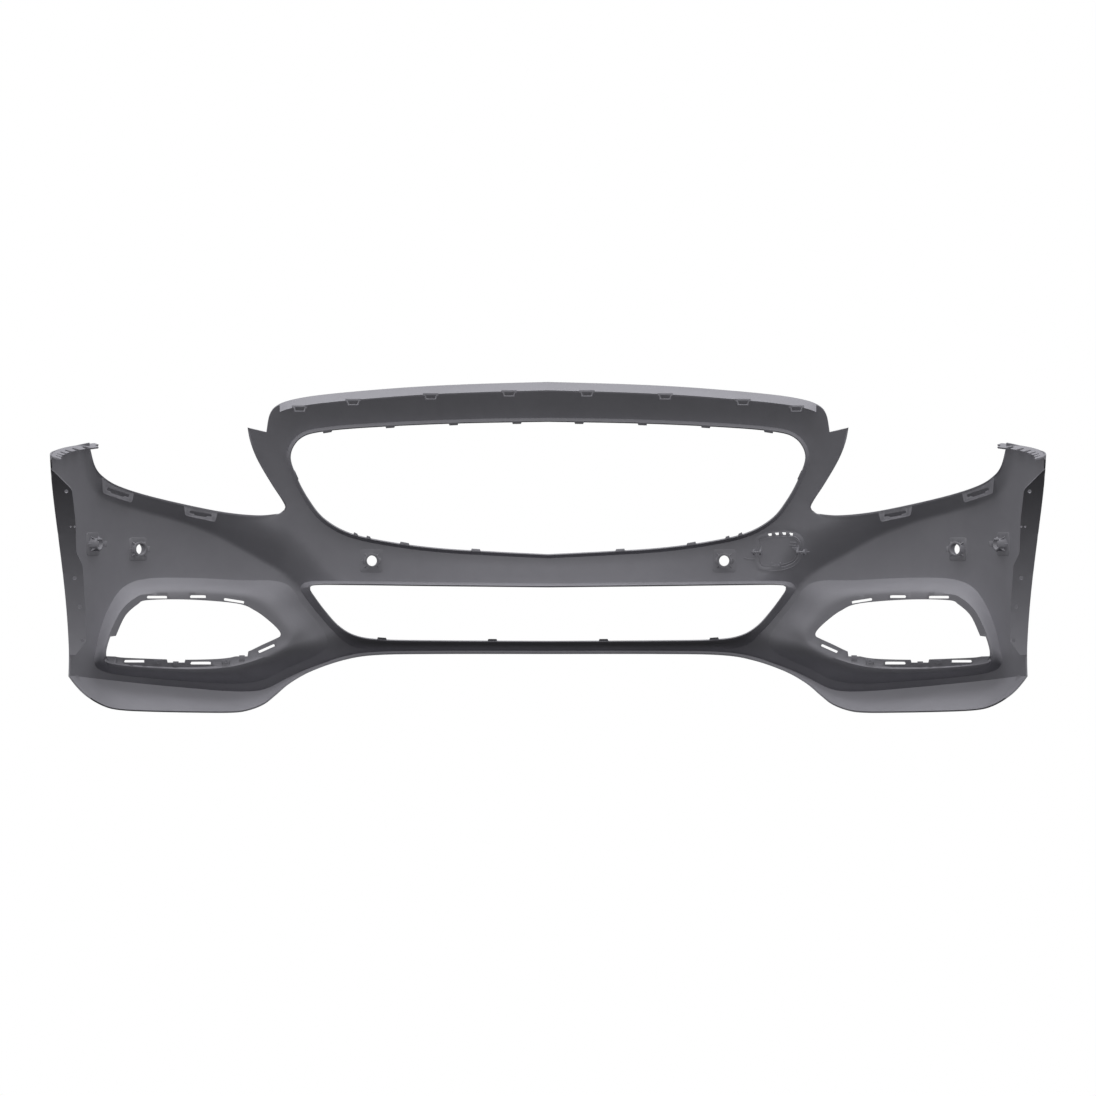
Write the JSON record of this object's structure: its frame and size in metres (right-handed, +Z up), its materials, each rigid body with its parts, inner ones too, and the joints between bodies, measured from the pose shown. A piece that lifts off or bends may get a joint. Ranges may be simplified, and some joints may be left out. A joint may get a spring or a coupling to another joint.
{
  "type": "front bumper cover",
  "caption": "Car front bumper cover moulding with grille, intake and lamp openings, clip flanges, parking-sensor holders and a tilting towing-eye cover.",
  "frame": {"origin": "on the car's centre plane, at the lowest edge, halfway between the rear ends of the side walls and the front of the lip", "axes": "+X to the car's right-hand side, +Y the way the car drives, +Z up"},
  "size_m": [1.7938, 0.594, 0.5959],
  "materials": {
    "moulding": "fine-grained, unpainted rear side",
    "holder_plastic": "fine-grained"
  },
  "bodies": {
    "cover": {"cover_skin": "moulding", "grille_surround": "moulding", "intake_surround_left": "moulding", "intake_surround_right": "moulding", "lamp_pocket_left": "moulding", "lamp_pocket_right": "moulding", "upper_flange": "moulding", "upper_retaining_loops": "moulding", "wheel_arch_flange_left": "moulding", "wheel_arch_flange_right": "moulding", "fender_flange_left": "moulding", "fender_flange_right": "moulding", "headlamp_tab_outer_left": "moulding", "headlamp_tab_outer_right": "moulding", "headlamp_tab_inner_left": "moulding", "headlamp_tab_inner_right": "moulding", "lamp_frame_left": "moulding", "lamp_frame_right": "moulding", "grille_clip_tabs": "moulding", "intake_clip_tabs": "moulding", "sensor_holder_inner_left": "holder_plastic", "sensor_holder_inner_right": "holder_plastic", "sensor_holder_outer_left": "holder_plastic", "sensor_holder_outer_right": "holder_plastic", "sensor_holder_side_left": "holder_plastic", "sensor_holder_side_right": "holder_plastic", "tow_cover_pivots": "moulding", "tow_cover_seat": "moulding"},
    "tow_flap": {"tow_eye_cover": "moulding"}
  },
  "joints": [
    {"name": "tow_cover_tilt", "type": "hinge", "parent": "cover", "child": "tow_flap", "pos_m": [0.41572, 0.18241, 0.2894], "axis": [0.9818, -0.1898, 0], "range_deg": [0, 20]}
  ]
}
